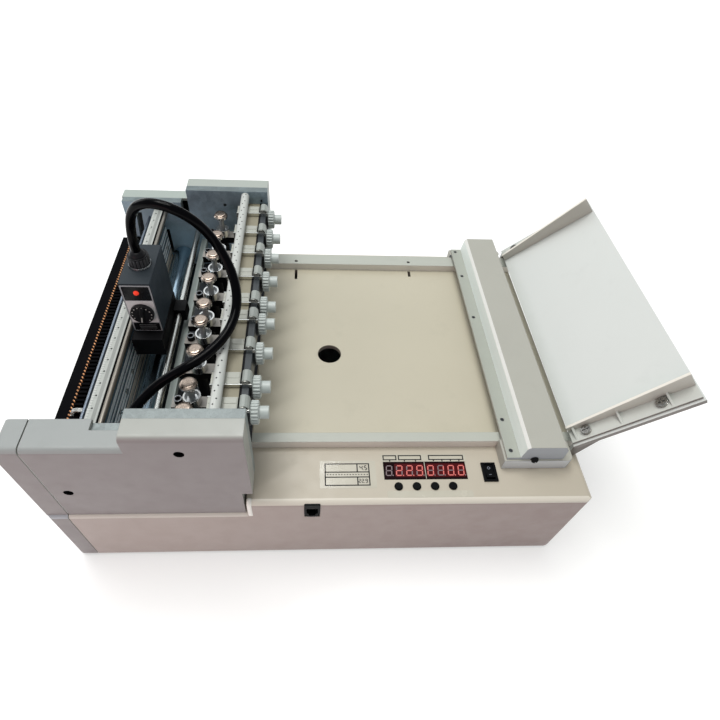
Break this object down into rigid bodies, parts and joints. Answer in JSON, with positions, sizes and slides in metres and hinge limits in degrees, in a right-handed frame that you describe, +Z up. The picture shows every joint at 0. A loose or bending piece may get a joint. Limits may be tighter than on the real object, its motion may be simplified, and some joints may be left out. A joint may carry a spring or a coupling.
{
  "type": "label cutting machine",
  "caption": "Desk machine that feeds sheets from an inclined tray under a bridge and across a deck into a tower with press carriages, a sensor, a feed roller and a cross-cutting knife",
  "frame": {"origin": "middle of the footprint of the machine without its cable, on the lower face of the rubber feet", "axes": "+X along the feed path towards the feed tray, +Y to the rear, +Z up"},
  "size_m": [0.446, 0.276, 0.2502],
  "materials": {
    "moulding": "beige moulded plastic, fine grain",
    "deck": "cream paint, satin",
    "plate_steel": "mottled zinc",
    "rubber": "matt black",
    "screws": "bright zinc",
    "black_plastic": "satin black",
    "bright_steel": "polished",
    "tool_steel": "ground",
    "dark_metal": "dark paint",
    "white_plastic": "off-white, satin",
    "table": "brown laminate",
    "carriage_metal": "pressed sheet, satin",
    "sensor_plastic": "dark grey, fine grain",
    "cable": "glossy black sheath"
  },
  "bodies": {
    "machine": {"base_housing": "moulding", "bottom_plate": "plate_steel", "rubber_feet": "rubber", "left_end_cover": "moulding", "front_tower_cover": "moulding", "rear_tower_cover": "moulding", "side_plates": "plate_steel", "deck_plate": "deck", "feed_bridge": "moulding", "feed_tray": "moulding", "tray_guides": "moulding", "case_screws": "screws", "display_board": "black_plastic", "switch_body": "black_plastic", "front_socket": "black_plastic", "feed_motor": "dark_metal", "knife_solenoids": "dark_metal", "fixed_knife": "tool_steel", "static_brush": "black_plastic", "scale_bars": "white_plastic", "cross_bars": "bright_steel", "guide_table": "table", "sensor_cable": "cable"},
    "button_1": {"button_1": "black_plastic"},
    "button_2": {"button_2": "black_plastic"},
    "button_3": {"button_3": "black_plastic"},
    "button_4": {"button_4": "black_plastic"},
    "rocker": {"switch_rocker": "black_plastic"},
    "roller": {"feed_roller": "bright_steel"},
    "pinion": {"motor_pinion": "tool_steel"},
    "knife": {"moving_knife": "tool_steel"},
    "sensor": {"sensor_head": "sensor_plastic"},
    "dial": {"sensor_dial": "black_plastic"},
    "carriage_1": {"carriage_1": "carriage_metal"},
    "thumb_screw_1": {"thumb_screw_1": "bright_steel"},
    "lock_knob_1": {"lock_knob_1": "white_plastic"},
    "carriage_2": {"carriage_2": "carriage_metal"},
    "thumb_screw_2": {"thumb_screw_2": "bright_steel"},
    "lock_knob_2": {"lock_knob_2": "white_plastic"},
    "carriage_3": {"carriage_3": "carriage_metal"},
    "thumb_screw_3": {"thumb_screw_3": "bright_steel"},
    "lock_knob_3": {"lock_knob_3": "white_plastic"},
    "carriage_4": {"carriage_4": "carriage_metal"},
    "thumb_screw_4": {"thumb_screw_4": "bright_steel"},
    "lock_knob_4": {"lock_knob_4": "white_plastic"},
    "carriage_5": {"carriage_5": "carriage_metal"},
    "thumb_screw_5": {"thumb_screw_5": "bright_steel"},
    "lock_knob_5": {"lock_knob_5": "white_plastic"},
    "carriage_6": {"carriage_6": "carriage_metal"},
    "thumb_screw_6": {"thumb_screw_6": "bright_steel"},
    "lock_knob_6": {"lock_knob_6": "white_plastic"},
    "carriage_7": {"carriage_7": "carriage_metal"},
    "thumb_screw_7": {"thumb_screw_7": "bright_steel"},
    "lock_knob_7": {"lock_knob_7": "white_plastic"},
    "carriage_8": {"carriage_8": "carriage_metal"},
    "thumb_screw_8": {"thumb_screw_8": "bright_steel"},
    "lock_knob_8": {"lock_knob_8": "white_plastic"},
    "carriage_9": {"carriage_9": "carriage_metal"},
    "thumb_screw_9": {"thumb_screw_9": "bright_steel"},
    "lock_knob_9": {"lock_knob_9": "white_plastic"}
  },
  "joints": [
    {"name": "button_1_press", "type": "slide", "parent": "machine", "child": "button_1", "axis": [0, 0, -1], "range_m": [0, 0.0005], "stiffness_N_per_m": 400, "springref_m": -0.001},
    {"name": "button_2_press", "type": "slide", "parent": "machine", "child": "button_2", "axis": [0, 0, -1], "range_m": [0, 0.0005], "stiffness_N_per_m": 400, "springref_m": -0.001},
    {"name": "button_3_press", "type": "slide", "parent": "machine", "child": "button_3", "axis": [0, 0, -1], "range_m": [0, 0.0005], "stiffness_N_per_m": 400, "springref_m": -0.001},
    {"name": "button_4_press", "type": "slide", "parent": "machine", "child": "button_4", "axis": [0, 0, -1], "range_m": [0, 0.0005], "stiffness_N_per_m": 400, "springref_m": -0.001},
    {"name": "rocker_tilt", "type": "hinge", "parent": "machine", "child": "rocker", "pos_m": [0.09306, -0.1147, 0.0906], "axis": [1, 0, 0], "range_deg": [0, 16]},
    {"name": "roller_spin", "type": "hinge", "parent": "machine", "child": "roller", "pos_m": [-0.16099, 0, 0.1037], "axis": [0, 1, 0], "continuous": true},
    {"name": "pinion_spin", "type": "hinge", "parent": "machine", "child": "pinion", "pos_m": [-0.13099, -0.1285, 0.0637], "axis": [0, 1, 0], "continuous": true},
    {"name": "knife_stroke", "type": "slide", "parent": "machine", "child": "knife", "axis": [0, 0, 1], "range_m": [-0.01, 0], "stiffness_N_per_m": 400, "springref_m": 0.012},
    {"name": "sensor_slide", "type": "slide", "parent": "machine", "child": "sensor", "axis": [0, 1, 0], "range_m": [-0.04, 0.04]},
    {"name": "dial_turn", "type": "hinge", "parent": "sensor", "child": "dial", "pos_m": [-0.15649, -0.02901, 0.168], "axis": [0, 1, 0], "range_deg": [-140, 140]},
    {"name": "carriage_1_slide", "type": "slide", "parent": "machine", "child": "carriage_1", "axis": [0, 1, 0], "range_m": [-0.0026, 0.0019]},
    {"name": "thumb_screw_1_turn", "type": "hinge", "parent": "carriage_1", "child": "thumb_screw_1", "pos_m": [-0.11849, -0.10459, 0.144], "axis": [0, 0, 1], "range_deg": [-180, 180]},
    {"name": "lock_knob_1_turn", "type": "hinge", "parent": "carriage_1", "child": "lock_knob_1", "pos_m": [-0.07099, -0.10459, 0.155], "axis": [1, 0, 0], "range_deg": [0, 270]},
    {"name": "carriage_2_slide", "type": "slide", "parent": "machine", "child": "carriage_2", "axis": [0, 1, 0], "range_m": [-0.0019, 0.0065]},
    {"name": "thumb_screw_2_turn", "type": "hinge", "parent": "carriage_2", "child": "thumb_screw_2", "pos_m": [-0.11849, -0.08453, 0.144], "axis": [0, 0, 1], "range_deg": [-180, 180]},
    {"name": "lock_knob_2_turn", "type": "hinge", "parent": "carriage_2", "child": "lock_knob_2", "pos_m": [-0.07099, -0.08453, 0.155], "axis": [1, 0, 0], "range_deg": [0, 270]},
    {"name": "carriage_3_slide", "type": "slide", "parent": "machine", "child": "carriage_3", "axis": [0, 1, 0], "range_m": [-0.0065, 0.0061]},
    {"name": "thumb_screw_3_turn", "type": "hinge", "parent": "carriage_3", "child": "thumb_screw_3", "pos_m": [-0.11849, -0.05526, 0.144], "axis": [0, 0, 1], "range_deg": [-180, 180]},
    {"name": "lock_knob_3_turn", "type": "hinge", "parent": "carriage_3", "child": "lock_knob_3", "pos_m": [-0.07099, -0.05526, 0.155], "axis": [1, 0, 0], "range_deg": [0, 270]},
    {"name": "carriage_4_slide", "type": "slide", "parent": "machine", "child": "carriage_4", "axis": [0, 1, 0], "range_m": [-0.0061, 0.0008]},
    {"name": "thumb_screw_4_turn", "type": "hinge", "parent": "carriage_4", "child": "thumb_screw_4", "pos_m": [-0.11849, -0.02691, 0.144], "axis": [0, 0, 1], "range_deg": [-180, 180]},
    {"name": "lock_knob_4_turn", "type": "hinge", "parent": "carriage_4", "child": "lock_knob_4", "pos_m": [-0.07099, -0.02691, 0.155], "axis": [1, 0, 0], "range_deg": [0, 270]},
    {"name": "carriage_5_slide", "type": "slide", "parent": "machine", "child": "carriage_5", "axis": [0, 1, 0], "range_m": [-0.0008, 0.0062]},
    {"name": "thumb_screw_5_turn", "type": "hinge", "parent": "carriage_5", "child": "thumb_screw_5", "pos_m": [-0.11849, -0.00916, 0.144], "axis": [0, 0, 1], "range_deg": [-180, 180]},
    {"name": "lock_knob_5_turn", "type": "hinge", "parent": "carriage_5", "child": "lock_knob_5", "pos_m": [-0.07099, -0.00916, 0.155], "axis": [1, 0, 0], "range_deg": [0, 270]},
    {"name": "carriage_6_slide", "type": "slide", "parent": "machine", "child": "carriage_6", "axis": [0, 1, 0], "range_m": [-0.0062, 0.0061]},
    {"name": "thumb_screw_6_turn", "type": "hinge", "parent": "carriage_6", "child": "thumb_screw_6", "pos_m": [-0.11849, 0.01942, 0.144], "axis": [0, 0, 1], "range_deg": [-180, 180]},
    {"name": "lock_knob_6_turn", "type": "hinge", "parent": "carriage_6", "child": "lock_knob_6", "pos_m": [-0.07099, 0.01942, 0.155], "axis": [1, 0, 0], "range_deg": [0, 270]},
    {"name": "carriage_7_slide", "type": "slide", "parent": "machine", "child": "carriage_7", "axis": [0, 1, 0], "range_m": [-0.0061, 0.005]},
    {"name": "thumb_screw_7_turn", "type": "hinge", "parent": "carriage_7", "child": "thumb_screw_7", "pos_m": [-0.11849, 0.04777, 0.144], "axis": [0, 0, 1], "range_deg": [-180, 180]},
    {"name": "lock_knob_7_turn", "type": "hinge", "parent": "carriage_7", "child": "lock_knob_7", "pos_m": [-0.07099, 0.04777, 0.155], "axis": [1, 0, 0], "range_deg": [0, 270]},
    {"name": "carriage_8_slide", "type": "slide", "parent": "machine", "child": "carriage_8", "axis": [0, 1, 0], "range_m": [-0.005, 0.006]},
    {"name": "thumb_screw_8_turn", "type": "hinge", "parent": "carriage_8", "child": "thumb_screw_8", "pos_m": [-0.11849, 0.07405, 0.144], "axis": [0, 0, 1], "range_deg": [-180, 180]},
    {"name": "lock_knob_8_turn", "type": "hinge", "parent": "carriage_8", "child": "lock_knob_8", "pos_m": [-0.07099, 0.07405, 0.155], "axis": [1, 0, 0], "range_deg": [0, 270]},
    {"name": "carriage_9_slide", "type": "slide", "parent": "machine", "child": "carriage_9", "axis": [0, 1, 0], "range_m": [-0.006, 0.0065]},
    {"name": "thumb_screw_9_turn", "type": "hinge", "parent": "carriage_9", "child": "thumb_screw_9", "pos_m": [-0.11849, 0.10217, 0.144], "axis": [0, 0, 1], "range_deg": [-180, 180]},
    {"name": "lock_knob_9_turn", "type": "hinge", "parent": "carriage_9", "child": "lock_knob_9", "pos_m": [-0.07099, 0.10217, 0.155], "axis": [1, 0, 0], "range_deg": [0, 270]}
  ],
  "couplings": [
    {"joint": "pinion_spin", "follows": "roller_spin", "ratio": -1.5}
  ]
}
